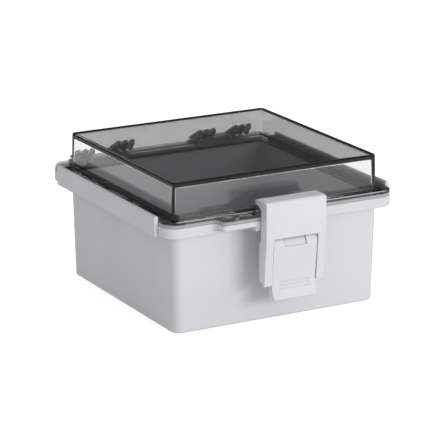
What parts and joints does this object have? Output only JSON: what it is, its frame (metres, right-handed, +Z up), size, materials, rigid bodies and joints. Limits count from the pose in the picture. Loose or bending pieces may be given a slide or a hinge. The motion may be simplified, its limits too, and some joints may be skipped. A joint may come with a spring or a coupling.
{
  "type": "hinged enclosure",
  "caption": "Square wall-mount enclosure with a gasketed base, a clear raised cover on pinned rear hinges, side rails and an over-centre draw latch with a seal ear.",
  "frame": {"origin": "centre of the flat underside of the base", "axes": "+X to the right along the front, -Y towards the latch, +Y towards the hinges, +Z up"},
  "size_m": [0.234, 0.2627, 0.1337],
  "materials": {
    "base_plastic": "fine moulded satin, pale grey",
    "rail_plastic": "fine moulded satin, pale grey",
    "latch_plastic": "fine moulded satin, pale grey",
    "cover_clear": "polished clear polycarbonate with a smoke tint",
    "seal_rubber": "dark foamed sealing cord",
    "pin_steel": "drawn stainless steel",
    "insert_brass": "turned brass"
  },
  "bodies": {
    "base": {"base_shell": "base_plastic", "gasket": "seal_rubber", "panel_insert_fl": "insert_brass", "panel_insert_fr": "insert_brass", "panel_insert_rl": "insert_brass", "panel_insert_rr": "insert_brass", "side_rail_left": "rail_plastic", "side_rail_right": "rail_plastic", "hinge_pin_left": "pin_steel", "hinge_pin_right": "pin_steel", "lever_pin": "pin_steel"},
    "cover": {"cover_shell": "cover_clear"},
    "lever": {"latch_lever": "latch_plastic"},
    "hook": {"latch_hook": "latch_plastic", "hook_pin": "pin_steel"}
  },
  "joints": [
    {"name": "cover_hinge", "type": "hinge", "parent": "base", "child": "cover", "pos_m": [0, 0.125, 0.099], "axis": [-1, 0, 0], "range_deg": [0, 130]},
    {"name": "lever_pivot", "type": "hinge", "parent": "base", "child": "lever", "pos_m": [0, -0.1252, 0.0745], "axis": [-1, 0, 0], "range_deg": [0, 110]},
    {"name": "hook_pivot", "type": "hinge", "parent": "lever", "child": "hook", "pos_m": [0, -0.1247, 0.0465], "axis": [-1, 0, 0], "range_deg": [-145, 0]}
  ],
  "couplings": [
    {"joint": "hook_pivot", "follows": "lever_pivot", "ratio": -1.3}
  ]
}
